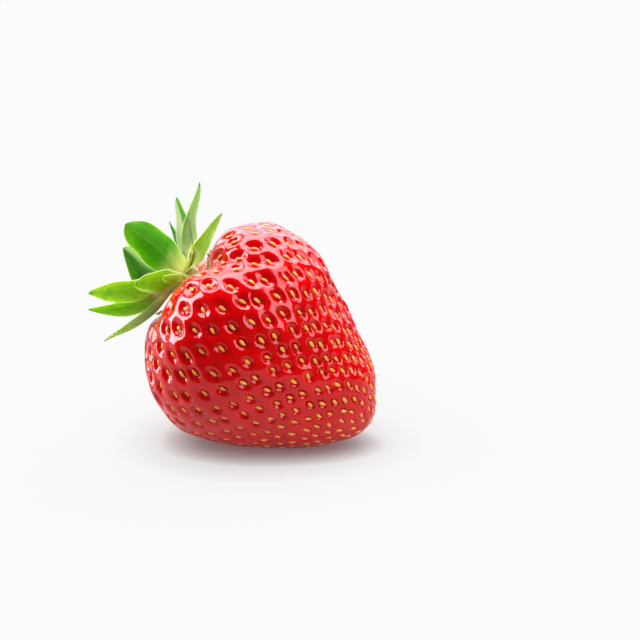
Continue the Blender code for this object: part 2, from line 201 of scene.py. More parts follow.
# Veins of a blade: how many side veins leave the midrib and how they slant, how close the long ones are,
# how strong each kind is, and how much of their colour shows
SIDE_VEINS = 9.0
SIDE_VEIN_SLANT = 2.1
LONG_VEINS = 9.5
VEIN_STRENGTHS = {"side": 0.3, "midrib": 0.55, "long": 0.44}
VEIN_SHARE = 0.22


# ---------------------------------------------------------------- the fruit's form


def fruit_axes():
    """Unit vectors towards the tip, the top and the front of the fruit."""
    level = math.cos(AXIS_PITCH)
    tip = Vector((level * math.cos(AXIS_YAW), level * math.sin(AXIS_YAW), -math.sin(AXIS_PITCH)))
    front = Vector((math.sin(AXIS_YAW), -math.cos(AXIS_YAW), 0))
    return np.array(tip), np.array(front.cross(tip)), np.array(front)


TIP, TOP, FRONT = fruit_axes()
MIDDLE = np.array([0, 0, MIDDLE_HEIGHT])


def smoothstep(x):
    x = np.clip(x, 0, 1)
    return x * x * (3 - 2 * x)


def fade(x, start, full):
    """Rises smoothly from 0 at the start to 1 where it is full, which may be the lower of the two."""
    return smoothstep((x - start) / (full - start))


def unit(vectors):
    return vectors / np.linalg.norm(vectors, axis=-1, keepdims=True)


def turned_away(phi, angle):
    """How far phi is from an angle, the short way round."""
    return (phi - angle + math.pi) % (2 * math.pi) - math.pi


def smooth_curve(x, knots, values):
    """A smooth line through the values at the knots, level at both ends."""
    slopes = np.gradient(values, knots)
    slopes[0] = slopes[-1] = 0
    i = np.clip(np.searchsorted(knots, x, side="right") - 1, 0, len(knots) - 2)
    span = knots[i + 1] - knots[i]
    t = (x - knots[i]) / span
    rise = t * t * (3 - 2 * t)
    bend = t * (1 - t) ** 2 * slopes[i] - t * t * (1 - t) * slopes[i + 1]
    return values[i] * (1 - rise) + values[i + 1] * rise + span * bend


def reach(psi, phi):
    """How far the plain skin, without its pits, is from the middle."""
    top_share = (1 + np.cos(phi)) / 2
    top = smooth_curve(psi, OUTLINE_ANGLES, TOP_REACH)
    belly = smooth_curve(psi, OUTLINE_ANGLES, BELLY_REACH)
    behind = np.clip(2 * psi / math.pi - 1, 0, 1)
    found = top * top_share + belly * (1 - top_share)
    found = found + CHEEK_SWELL * np.sin(phi) ** 2 * np.sin(math.pi * behind)
    shown = fade(psi, FURROW_START, FURROW_FULL) * np.clip((math.pi - psi) / FURROW_END, 0, 1)
    for angle, half_width, depth in FURROWS:
        away = turned_away(phi, math.radians(angle)) / math.radians(half_width)
        found = found - depth * np.exp(-(away**2)) * shown
    return found


def across_axis(phi):
    """Unit vectors straight out from the axis."""
    return np.cos(phi)[..., None] * TOP + np.sin(phi)[..., None] * FRONT


def directions(psi, phi):
    return np.cos(psi)[..., None] * TIP + np.sin(psi)[..., None] * across_axis(phi)


def angles(direction):
    """The angles psi and phi of unit directions."""
    psi = np.arccos(np.clip(direction @ TIP, -1, 1))
    return psi, np.arctan2(direction @ FRONT, direction @ TOP)


def resting_reach(direction):
    """The reach along unit directions, cut off level where the fruit rests."""
    down = np.maximum(-direction[..., 2], 1e-6)
    return np.minimum(reach(*angles(direction)), MIDDLE_HEIGHT / down)


def tangents(direction):
    """Unit vectors across each direction: along the meridian, away from the tip, and round the axis."""
    round_axis = np.cross(TIP, direction)
    round_axis /= np.linalg.norm(round_axis, axis=-1, keepdims=True) + 1e-12
    return np.cross(round_axis, direction), round_axis


def skin_frame(direction):
    """Points of the plain skin, from the middle, and unit vectors along, round and out of it there."""
    step = 2e-3
    sides = []
    for tangent in tangents(direction):
        ends = [unit(direction + sign * step * tangent) for sign in (1, -1)]
        ends = [end * resting_reach(end)[:, None] for end in ends]
        sides.append(unit(ends[0] - ends[1]))
    along, across = sides
    outward = unit(np.cross(along, across))
    return direction * resting_reach(direction)[:, None], along, np.cross(outward, along), outward


class Achenes:
    """Where each achene is, how it is turned, how far apart they are there and how deep its pit is."""

    def __init__(self, pit_depth):
        psi, phi = self.spiral()
        self.spacing = smooth_curve(psi, SEED_ANGLES, SEED_SPACINGS)
        direction = directions(psi, phi)
        along, across = tangents(direction)
        shift = np.random.default_rng(5).uniform(-1, 1, (len(psi), 2)) * SEED_JITTER
        step = (self.spacing / reach(psi, phi))[:, None]
        direction = unit(direction + step * (shift[:, :1] * along + shift[:, 1:] * across))
        self.point, self.along, self.across, self.outward = skin_frame(direction)
        psi = angles(direction)[0]
        self.height = self.point[:, 2] + MIDDLE_HEIGHT
        draw = np.random.default_rng(11)
        away_from_tip = fade(psi, math.radians(20), math.radians(80))
        above_floor = fade(self.height, 3 * MM, 9 * MM)
        self.depth = pit_depth * (TIP_DEPTH + (1 - TIP_DEPTH) * away_from_tip)
        self.depth *= (FLOOR_DEPTH + (1 - FLOOR_DEPTH) * above_floor) * draw.uniform(0.82, 1.15, len(psi))
        self.depth *= fade(self.height, 0, RELIEF_FADE)
        facing_up = fade(self.outward[:, 2], -0.1, 0.8)
        shoulder = fade(psi, math.radians(85), math.radians(135))
        self.wide = PIT_HALF_WIDTH + PIT_WIDENING * np.maximum(facing_up, shoulder)

    @staticmethod
    def spiral():
        """The achenes' angles, in a spiral from the tip, closest together there."""
        psi = np.linspace(0, SEED_LIMIT, 400)
        mean = (reach(psi, 0 * psi) + reach(psi, 0 * psi + math.pi)) / 2
        arc = np.hypot(mean, np.gradient(mean, psi))
        cell = smooth_curve(psi, SEED_ANGLES, SEED_SPACINGS) ** 2 * math.sqrt(3) / 2
        density = 2 * math.pi * mean * np.sin(psi) * arc / cell
        total = np.concatenate([[0], np.cumsum((density[1:] + density[:-1]) / 2 * np.diff(psi))])
        number = np.arange(int(total[-1]))
        return np.interp(number + 0.5, total, psi), number * GOLDEN_ANGLE

    def gaps(self, points):
        """How far each point is from each achene, in spacings, with pits longer than they are wide."""
        total = 0
        for axis, stretch in zip((self.along, self.across, self.outward), PIT_STRETCH):
            there = np.einsum("ij,ij->i", self.point, axis)
            total = total + ((points @ axis.T - there) / stretch) ** 2
        return np.sqrt(total) / self.spacing

    def sink(self, points):
        """How far the skin sinks at each point, and how much of a pit is there, from 0 to 1."""
        depths, shades = [], []
        batch = 8192
        for start in range(0, len(points), batch):
            gap = self.gaps(points[start : start + batch])
            wall = np.exp(-((gap / self.wide) ** PIT_STEEPNESS))
            bowl = np.exp(-((gap / (BOWL_WIDER * self.wide)) ** 2))
            depths.append((self.depth * ((1 - BOWL_SHARE) * wall + BOWL_SHARE * bowl)).sum(axis=1))
            shades.append(np.clip(wall.sum(axis=1), 0, 1))
        return np.concatenate(depths), np.concatenate(shades)


# ---------------------------------------------------------------- mesh helpers


def deselect_all():
    if bpy.context.mode != "OBJECT":
        bpy.ops.object.mode_set(mode="OBJECT")
    bpy.ops.object.select_all(action="DESELECT")


def select_only(made):
    deselect_all()
    made.select_set(True)
    bpy.context.view_layer.objects.active = made


def take_new(name):
    """The object that an operator has just added, renamed."""
    made = bpy.context.view_layer.objects.active
    made.name = name
    made.data.name = name
    return made


def coordinates(mesh):
    found = np.empty(len(mesh.vertices) * 3)
    mesh.vertices.foreach_get("co", found)
    return found.reshape(-1, 3)


def set_coordinates(mesh, points):
    mesh.vertices.foreach_set("co", np.asarray(points, np.float32).ravel())
    mesh.update()


def set_values(mesh, name, values):
    """Writes one number for each vertex as a named attribute."""
    mesh.attributes.new(name, "FLOAT", "POINT").data.foreach_set("value", np.asarray(values, np.float32))


def set_weights(made, name, weights):
    group = made.vertex_groups.new(name=name)
    for index, weight in enumerate(weights):
        group.add([index], float(weight), "REPLACE")


def apply_modifier(made, kind, **settings):
    """Adds a modifier and applies it."""
    select_only(made)
    modifier = made.modifiers.new(kind.lower(), kind)
    for name, value in settings.items():
        setattr(modifier, name, value)
    bpy.ops.object.modifier_apply(modifier=modifier.name)


def turn_faces_out(made):
    select_only(made)
    bpy.ops.object.mode_set(mode="EDIT")
    bpy.ops.mesh.select_all(action="SELECT")
    bpy.ops.mesh.normals_make_consistent(inside=False)
    bpy.ops.object.mode_set(mode="OBJECT")


def join_pieces(pieces, name):
    """One object from several, by the join operator."""
    select_only(pieces[0])
    for piece in pieces[1:]:
        piece.select_set(True)
    bpy.ops.object.join()
    return take_new(name)


def mesh_object(name, points, faces):
    mesh = bpy.data.meshes.new(name)
    mesh.from_pydata(np.asarray(points).tolist(), [], faces)
    made = bpy.data.objects.new(name, mesh)
    bpy.context.scene.collection.objects.link(made)
    mesh.shade_smooth()
    return made


def ball_pattern(segments, rings):
    """Points and faces of a unit ball, as a pattern for copies, the faces always in the same order."""
    deselect_all()
    bpy.ops.mesh.primitive_uv_sphere_add(segments=segments, ring_count=rings, radius=1)
    pattern = take_new("pattern")
    points = coordinates(pattern.data)
    faces = sorted(tuple(face.vertices) for face in pattern.data.polygons)
    bpy.data.objects.remove(pattern)
    return points, faces


def copies(template_faces, vertex_count, count):
    """The faces of a number of copies of one shape, whose vertices follow each other."""
    return [
        tuple(vertex + copy * vertex_count for vertex in face)
        for copy in range(count)
        for face in template_faces
    ]


def tube_faces(rings, sides):
    """Quads of a tube round its rings, and the two flat ends."""
    faces = []
    for ring in range(rings - 1):
        for side in range(sides):
            a, b = ring * sides + side, ring * sides + (side + 1) % sides
            faces.append((a, b, b + sides, a + sides))
    faces.append(tuple(range(sides - 1, -1, -1)))
    faces.append(tuple(range((rings - 1) * sides, rings * sides)))
    return faces


def tube_points(line, radii, sides):
    """Rings of points round a line of points, which never runs along the slanting start vector."""
    start = np.array([0.31, 0.53, 0.79])
    ahead = unit(np.gradient(line, axis=0))
    side = unit(np.cross(ahead, start))
    other = np.cross(ahead, side)
    turn = np.arange(sides) * 2 * math.pi / sides
    ring = np.cos(turn)[None, :, None] * side[:, None] + np.sin(turn)[None, :, None] * other[:, None]
    return (line[:, None] + ring * radii[:, None, None]).reshape(-1, 3)


def finish_piece(made, node, slot, *materials):
    """Gives a finished piece its materials, hangs it on the root body and hides the CAD part of its node; the
    slot is not used.
    """
    for material in materials:
        made.data.materials.append(material)
    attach(made, "root")
    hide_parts(node)
    deselect_all()


# ---------------------------------------------------------------- material helpers


def rgba(colour):
    """Three numbers with an alpha of 1; a socket stays as it is."""
    return colour if isinstance(colour, bpy.types.NodeSocket) else (*colour, 1.0)


class Graph:
    """Adds nodes to one node tree and links them."""

    def __init__(self, tree):
        self.tree = tree

    def add(self, kind, inputs=None, **settings):
        node = self.tree.nodes.new(kind)
        for name, value in settings.items():
            setattr(node, name, value)
        self.fill(node, inputs or {})
        return node

    def fill(self, node, inputs):
        """Links or sets a node's inputs."""
        for key, value in inputs.items():
            self.put(node.inputs[key], value)

    def put(self, socket, value):
        if isinstance(value, bpy.types.NodeSocket):
            self.tree.links.new(value, socket)
        else:
            socket.default_value = value

    def math(self, operation, *values):
        return self.add("ShaderNodeMath", dict(enumerate(values)), operation=operation).outputs[0]

    def times(self, a, b):
        return self.math("MULTIPLY", a, b)

    def mix(self, factor, a, b, blend="MIX"):
        inputs = {0: factor, 6: rgba(a), 7: rgba(b)}
        return self.add("ShaderNodeMix", inputs, data_type="RGBA", blend_type=blend).outputs[2]

    def remap(self, value, low, high, to_low=0.0, to_high=1.0, kind="SMOOTHSTEP"):
        inputs = {"Value": value, 1: low, 2: high, 3: to_low, 4: to_high}
        return self.add("ShaderNodeMapRange", inputs, interpolation_type=kind).outputs[0]

    def noise(self, coordinates, scale, detail):
        inputs = {"Vector": coordinates, "Scale": scale, "Detail": detail}
        return self.add("ShaderNodeTexNoise", inputs).outputs[0]

    def attribute(self, name):
        return self.add("ShaderNodeAttribute", attribute_name=name).outputs["Fac"]

    def openness(self, distance):
        """How much of the space within a distance is free, from 0 to 1."""
        return self.add("ShaderNodeAmbientOcclusion", {"Distance": distance}, samples=8).outputs["AO"]

    def object_coordinates(self):
        return self.add("ShaderNodeTexCoord").outputs["Object"]


def new_material(name):
    material = bpy.data.materials.new(name)
    material.use_nodes = True
    return material, Graph(material.node_tree), material.node_tree.nodes["Principled BSDF"]


def speckle_group():
    """A shared node group: soft and fine variation of a living surface, and a height for its grain."""
    name = "living_surface"
    if name in bpy.data.node_groups:
        return bpy.data.node_groups[name]
    tree = bpy.data.node_groups.new(name, "ShaderNodeTree")
    tree.interface.new_socket("Size", in_out="INPUT", socket_type="NodeSocketFloat").default_value = 1.0
    for output in ("Patches", "Specks", "Grain"):
        tree.interface.new_socket(output, in_out="OUTPUT", socket_type="NodeSocketFloat")
    graph = Graph(tree)
    start, end = graph.add("NodeGroupInput"), graph.add("NodeGroupOutput")
    coordinates = graph.object_coordinates()

    def variation(cells_per_metre, detail):
        scale = graph.math("DIVIDE", cells_per_metre, start.outputs["Size"])
        return graph.noise(coordinates, scale, detail)

    graph.fill(end, {
        "Patches": graph.remap(variation(220.0, 3.0), 0.32, 0.68),
        "Specks": graph.remap(variation(1900.0, 2.0), 0.52, 0.72),
        "Grain": variation(3600.0, 3.0),
    })
    return tree


def add_speckle(graph, size=1.0):
    return graph.add("ShaderNodeGroup", {"Size": size}, node_tree=speckle_group()).outputs


def add_bump(graph, shader, height, strength, distance):
    bump = graph.add("ShaderNodeBump", {"Height": height, "Strength": strength, "Distance": distance})
    graph.put(shader.inputs["Normal"], bump.outputs["Normal"])


# ---------------------------------------------------------------- settings


def length_property(name, description, default, low, high):
    return FloatProperty(
        name=name, description=description, default=default, min=low, max=high, unit="LENGTH", precision=5
    )


def number_property(name, description, default, low, high, **settings):
    return FloatProperty(name=name, description=description, default=default, min=low, max=high, **settings)


def colour_property(name, description, default):
    return FloatVectorProperty(
        name=name, description=description, default=default, subtype="COLOR", size=3, min=0, max=1
    )


class FruitSettings(bpy.types.PropertyGroup):
    pit_depth: length_property("Pit depth", "Depth of a pit on the shoulder", 0.8 * MM, 0, 2 * MM)
    seed_length: length_property("Achene length", "Length of one achene", 1.48 * MM, 0.5 * MM, 3 * MM)
    seed_width: length_property("Achene width", "Width of one achene", 0.7 * MM, 0.3 * MM, 2 * MM)
    seed_thickness: length_property("Achene thickness", "How thick one achene is", 0.6 * MM, 0.2 * MM, 2 * MM)
    hair_length: length_property("Style length", "Length of the dry style on an achene", 0.8 * MM, 0, 3 * MM)
    flesh_colour: colour_property("Flesh", "Colour of the raised skin", (0.66, 0.0006, 0.0012))
    # the pits' colour is darker than the flesh: painted shade in the hollows
    pit_shade_colour: colour_property("Pits", "Colour inside the pits", (0.54, 0.0005, 0.0010))
    # paler skin near the calyx, laid only on the ridges between the pits: partly the skin's own paler
    # shoulder, partly a painted highlight
    neck_and_highlight_colour: colour_property("Neck", "Colour of the bare skin next to the calyx", (0.84, 0.36, 0.24))
    seed_colour: colour_property("Achenes", "Colour of a ripe achene", (1.0, 0.43, 0.06))
    # an achene's sides: partly their own redder colour, partly painted shade
    seed_side_and_shade_colour: colour_property("Achene sides", "Colour of an achene's sides", (0.80, 0.12, 0.010))
    hair_colour: colour_property("Styles", "Colour of the dry styles", (0.55, 0.14, 0.08))


class CalyxSettings(bpy.types.PropertyGroup):
    thickness: length_property("Blade thickness", "Thickness at the midrib", 0.42 * MM, 0.1 * MM, 1 * MM)
    stamens: IntProperty(name="Stamens", description="Number of withered stamens", default=34, min=0, max=60)
    pale_colour: colour_property("Pale blades", "Colour of the palest blades", (0.26, 0.34, 0.13))
    young_colour: colour_property("Yellow-green blades", "Colour of the light blades", (0.27, 0.42, 0.010))
    green_colour: colour_property("Green blades", "Colour of the green blades", (0.030, 0.215, 0.0006))
    dark_colour: colour_property("Dark blades", "Colour of the dark blades", (0.030, 0.115, 0.014))
    # a blade's own paler side, and on the lowest blade painted light
    bleach_and_painted_light_colour: colour_property("Bleached side", "Colour of a blade's pale side", (0.36, 0.50, 0.20))
    # the blades' own pale base, made lighter still as painted light in the shade round the hub
    pale_base_and_light_colour: colour_property("Blade base", "Colour where the blades join", (0.70, 0.72, 0.22))
    margin_colour: colour_property("Margins", "Colour of a blade's thin edge", (0.50, 0.60, 0.36))
    # the filaments' and anthers' own pale colours, made lighter as painted light where they lie in shade
    # under the blades
    stamen_and_light_colour: colour_property("Stamens", "Colour of the dry filaments", (0.92, 0.82, 0.46))
    anther_and_light_colour: colour_property("Anthers", "Colour of the dry anthers", (0.85, 0.62, 0.28))
    stem_colour: colour_property("Stem", "Colour of the stem", (0.34, 0.45, 0.12))


class StageSettings(bpy.types.PropertyGroup):
    floor_size: length_property("Floor size", "Side of the square floor", 12.0, 1, 50)
    floor_colour: colour_property("Floor", "Colour of the floor", (0.08, 0.08, 0.08))
    floor_glow: number_property("Floor glow", "Even brightness of the floor", 0.80, 0, 1)
    lens: number_property("Lens", "Focal length in millimetres", 150, 20, 300)
    elevation: number_property(
        "Elevation", "How far the camera looks down", math.radians(17), 0, math.pi / 2, subtype="ANGLE"
    )
    view_width: length_property("View width", "Width of the view at the fruit", 114.3 * MM, 0.02, 1)
    light: number_property("Light", "Radiance of the soft lights", 8, 0, 50)
    ambient: number_property("Ambient", "Radiance of the dim room", 0.035, 0, 2)


# ---------------------------------------------------------------- fruit


class STRAWBERRY_OT_skin(bpy.types.Operator):
    """Build the fruit's skin, with a pit for each achene"""

    bl_idname = "strawberry.skin"
    bl_label = "Skin"

    def execute(self, context):
        settings = context.scene.strawberry_fruit
        deselect_all()
        bpy.ops.mesh.primitive_cube_add(size=2)
        bpy.ops.object.mode_set(mode="EDIT")
        bpy.ops.mesh.select_all(action="SELECT")
        for _ in range(SKIN_HALVINGS):
            bpy.ops.mesh.subdivide(number_cuts=1)
        bpy.ops.object.mode_set(mode="OBJECT")
        skin = take_new("skin")
        direction = unit(np.tan(coordinates(skin.data) * math.pi / 4))
        point, _, _, outward = skin_frame(direction)
        sink, pit = Achenes(settings.pit_depth).sink(point)
        height = point[:, 2] + MIDDLE_HEIGHT
        relief = fade(height, 0, RELIEF_FADE)
        lift = self.lumps(point) * fade(height, 0, LUMP_FADE) - sink * relief
        point = MIDDLE + point + outward * lift[:, None]
        point[:, 2] = np.maximum(point[:, 2], 0)
        set_coordinates(skin.data, point)
        # the pit share also says where the skin's material paints shade in the pits
        set_values(skin.data, "pit", pit * relief)
        set_values(skin.data, "neck", fade(angles(direction)[0], NECK_START, NECK_FULL))
        skin.data.shade_smooth()
        finish_piece(skin, "berry", "berry_flesh", self.material(settings))
        return {"FINISHED"}

    @staticmethod
    def lumps(point):
        """Low, soft unevenness of the flesh: waves in directions drawn by lot."""
        draw = np.random.default_rng(3)
        total = 0
        for wavelength, height in zip(LUMP_LENGTHS, LUMP_HEIGHTS):
            wave = unit(draw.normal(size=3)) * 2 * math.pi / wavelength
            total = total + height * np.sin(point @ wave + draw.uniform(0, 2 * math.pi))
        return total

    @staticmethod
    def material(settings):
        """Wet and glossy red, darker in the pits as painted shade, and pale round the neck, partly as a
        painted highlight on the ridges between the pits.
        """
        material, graph, shader = new_material("strawberry_skin")
        pit, neck = graph.attribute("pit"), graph.attribute("neck")
        surface = add_speckle(graph)
        flesh = graph.mix(surface["Patches"], settings.flesh_colour, FLESH_PATCHES)
        flesh = graph.mix(graph.times(surface["Specks"], 0.02), flesh, FLESH_SPECKS)
        # painted shade: the pits are darker than the raised flesh
        colour = graph.mix(graph.remap(pit, 0.15, 0.9), flesh, settings.pit_shade_colour)
        # pale near the calyx on the ridges only: partly the skin's own paler shoulder, partly a painted
        # highlight
        pale = graph.times(graph.math("POWER", neck, 1.4), graph.math("SUBTRACT", 1.0, pit))
        graph.fill(shader, {
            "Base Color": graph.mix(pale, colour, settings.neck_and_highlight_colour),
            "Roughness": graph.remap(surface["Patches"], 0, 1, 0.055, 0.10, "LINEAR"),
            "IOR": 1.5,
            "Subsurface Weight": 0.25,
            "Subsurface Radius": (1.0, 0.12, 0.08),
            "Subsurface Scale": 1.6 * MM,
        })
        add_bump(graph, shader, surface["Grain"], 0.25, 0.03 * MM)
        return material


class STRAWBERRY_OT_achenes(bpy.types.Operator):
    """Build the achenes in their pits, each with its dry style"""

    bl_idname = "strawberry.achenes"
    bl_label = "Achenes"

    def execute(self, context):
        settings = context.scene.strawberry_fruit
        seeds = Achenes(settings.pit_depth)
        draw = np.random.default_rng(23)
        count = len(seeds.point)
        swing = draw.normal(0, math.radians(9), count)
        tilt = draw.normal(0, math.radians(5), count)
        size = draw.uniform(0.86, 1.08, count)
        tone = draw.uniform(0, 1, count)
        hair_side = draw.uniform(-1, 1, count)
        hair_size = draw.uniform(0.6, 1.1, count)
        along = np.cos(swing)[:, None] * seeds.along + np.sin(swing)[:, None] * seeds.across
        outward = unit(seeds.outward + np.sin(tilt)[:, None] * along)
        along = unit(along - outward * np.einsum("ij,ij->i", along, outward)[:, None])
        across = np.cross(outward, along)
        # under the fruit and near the floor, each sinks below the plain skin
        lift = SEED_SEAT * settings.seed_thickness - seeds.depth
        sunk = np.minimum(lift, SEED_LOW_SEAT * settings.seed_thickness)
        under = fade(seeds.height, 7 * MM, 3 * MM) * fade(seeds.outward[:, 2], 0, -0.5)
        lift = lift + under * (sunk - lift)
        centre = MIDDLE + seeds.point + seeds.outward * lift[:, None]
        shown = seeds.height > SEED_LOWEST
        frames = [array[shown] for array in (centre, along, across, outward, size, tone)]
        self.build_seeds(settings, *frames)
        hairy = shown & (draw.uniform(0, 1, count) < STYLE_SHARE)
        frames = [array[hairy] for array in (centre, along, across, seeds.outward, hair_side, hair_size)]
        self.build_hairs(settings, *frames)
        return {"FINISHED"}

    @classmethod
    def build_seeds(cls, settings, centre, along, across, outward, size, tone):
        """Each achene is drawn in at both ends and broader at the one away from the fruit's tip."""
        ball, faces = ball_pattern(10, 6)
        shape = ball[:, [2, 0, 1]]
        lengthwise = shape[:, :1]
        shape[:, 1:] *= (0.98 + 0.24 * lengthwise) * (1 - 0.12 * lengthwise**2)
        rise = (shape[:, 2] + 1) / 2
        half = np.array([settings.seed_length, settings.seed_width, settings.seed_thickness]) / 2
        place = (shape * half)[None] * size[:, None, None]
        turned = place @ np.stack([along, across, outward], axis=1)
        points = (centre[:, None] + turned).reshape(-1, 3)
        made = mesh_object("achenes", points, copies(faces, len(shape), len(centre)))
        set_values(made.data, "tone", np.repeat(tone, len(shape)))
        set_values(made.data, "rise", np.tile(rise, len(centre)))
        finish_piece(made, "berry", "berry_flesh", cls.seed_material(settings))

    @staticmethod
    def seed_material(settings):
        """Golden to reddish on top, darker and redder round the sides: partly the achene's own colour, partly
        painted shade.
        """
        material, graph, shader = new_material("achene")
        top = graph.mix(graph.attribute("tone"), settings.seed_colour, RED_SEED)
        # darker towards the achene's foot: partly its own colour, partly painted shade
        colour = graph.mix(graph.remap(graph.attribute("rise"), 0.25, 0.85), settings.seed_side_and_shade_colour, top)
        surface = add_speckle(graph, 0.6)
        colour = graph.mix(graph.times(surface["Specks"], 0.35), colour, SEED_SPECKS)
        graph.fill(shader, {"Base Color": colour, "Roughness": 0.24})
        add_bump(graph, shader, surface["Grain"], 0.3, 0.02 * MM)
        return material

    @classmethod
    def build_hairs(cls, settings, centre, along, across, outward, side, size):
        """Each style leaves its achene near the end towards the tip and bends outwards."""
        sides, rings = 4, 6
        share = np.linspace(0, 1, rings)[None, :, None]
        length = (settings.hair_length * size)[:, None, None]
        start = centre - along * 0.1 * MM + outward * settings.seed_thickness * 0.35
        lean = -0.55 * along + 0.5 * side[:, None] * across
        line = start[:, None] + length * share * (outward[:, None] + lean[:, None] * share)
        line = line[line[:, :, 2].min(axis=1) > STYLE_LOWEST]
        radii = STYLE_RADIUS * (1 - 0.5 * share[0, :, 0])
        points = np.concatenate([tube_points(each, radii, sides) for each in line])
        made = mesh_object("styles", points, copies(tube_faces(rings, sides), rings * sides, len(line)))
        finish_piece(made, "berry", "berry_flesh", cls.hair_material(settings))

    @staticmethod
    def hair_material(settings):
        material, graph, shader = new_material("dry_style")
        colour = graph.mix(add_speckle(graph)["Patches"], settings.hair_colour, STYLE_PATCHES)
        graph.fill(shader, {"Base Color": colour, "Roughness": 0.5})
        return material


# ---------------------------------------------------------------- calyx


def neck_point(radius, angle, height):
    """Points by their distance from the axis, their angle phi and their height over the neck."""
    radius, angle, height = np.broadcast_arrays(radius, angle, height)
    return MIDDLE - TIP * (BELLY_REACH[-1] + height)[..., None] + radius[..., None] * across_axis(angle)


def clear_of_skin(points, thickness):
    """The points, moved straight out until they are clear of the fruit and, near the hub, of the stamens."""
    offset = points - MIDDLE
    distance = np.linalg.norm(offset, axis=-1)
    direction = offset / distance[..., None]
    from_axis = np.linalg.norm(offset - TIP * (offset @ TIP)[..., None], axis=-1)
    near_hub = fade(from_axis, STAMEN_ZONE + STAMEN_FADE, STAMEN_ZONE)
    clear = CLEARANCE + thickness / 2 + (STAMEN_CLEARANCE - CLEARANCE) * near_hub
    return MIDDLE + direction * np.maximum(distance, resting_reach(direction) + clear)[..., None]


class Blade:
    """One blade's middle line and the surface round it."""

    steps = 120

    def __init__(self, angle, lift, length, widest, curl, twist, sway, blunt, tone, bleached):
        self.angle, lift, curl, twist, sway = (math.radians(a) for a in (angle, lift, curl, twist, sway))
        self.widest, self.blunt, self.tone, self.bleached = widest, blunt, tone, bleached
        self.share = np.linspace(0, 1, self.steps + 1)
        slope = (lift + curl * (self.share - SEPAL_LEVEL))[:, None]
        across = -math.sin(self.angle) * TOP + math.cos(self.angle) * FRONT
        outward = math.cos(self.angle) * TOP + math.sin(self.angle) * FRONT
        ahead = np.cos(slope) * outward - np.sin(slope) * TIP
        facing = np.cos(slope) * -TIP - np.sin(slope) * outward
        turn = (twist * fade(self.share, 0, SEPAL_TWISTED))[:, None]
        side = across * np.cos(turn) - facing * np.sin(turn)
        self.facing = facing * np.cos(turn) + across * np.sin(turn)
        bend = (sway * np.sin(2 * math.pi * self.share))[:, None]
        self.side = side * np.cos(bend) - ahead * np.sin(bend)
        steps = (ahead * np.cos(bend) + side * np.sin(bend)) * length / self.steps
        start = neck_point(SEPAL_ROOT, self.angle, HUB_TOP - SEPAL_DROP)
        self.line = start + np.concatenate([[[0, 0, 0]], np.cumsum(steps[:-1], axis=0)])

    def at(self, values, share):
        """One of the line's vectors at any shares of the length."""
        return np.stack([np.interp(share, self.share, values[:, i]) for i in range(3)], axis=-1)

    def half_width(self, share):
        """Broad near the middle; a blunt blade keeps its width towards the end."""
        pointed = 1.62 * share**0.8 * (1 - share) ** 0.85
        full = 1.1 * share**0.75 * (1 - share**3.2) ** 0.62
        shape = pointed * (1 - self.blunt) + full * self.blunt
        return self.widest * (0.55 * (1 - share) ** 2 + shape) + 0.22 * MM * (1 - share) + 0.02 * MM

    def points(self, share, place, thickness):
        """Points of the blade: share of the length, and place across it from -1 to 1."""
        crisp = SEPAL_CRISP * np.sin(15 * share + 2.5 * np.sign(place) + 5 * self.angle)
        half = self.half_width(share) * (1 + crisp)
        wave = SEPAL_WAVE * np.sin(9 * share + 2 * place + self.angle)
        groove = SEPAL_GROOVE * np.exp(-((place / 0.1) ** 2)) * (1 - share)
        fold = ((SEPAL_FOLD + wave) * place**2 - groove) * half
        point = self.at(self.line, share) + self.at(self.side, share) * (place * half)[..., None]
        return clear_of_skin(point + self.at(self.facing, share) * fold[..., None], thickness)

    def paleness(self, share, place):
        """How pale it is, from 0 to 1, on the side that is: its own paler side, and on the lowest blade
        painted light.
        """
        edge = 1 - abs(self.bleached)
        return fade(np.sign(self.bleached) * place, edge, edge + 0.3) * fade(share, 0, 0.25)


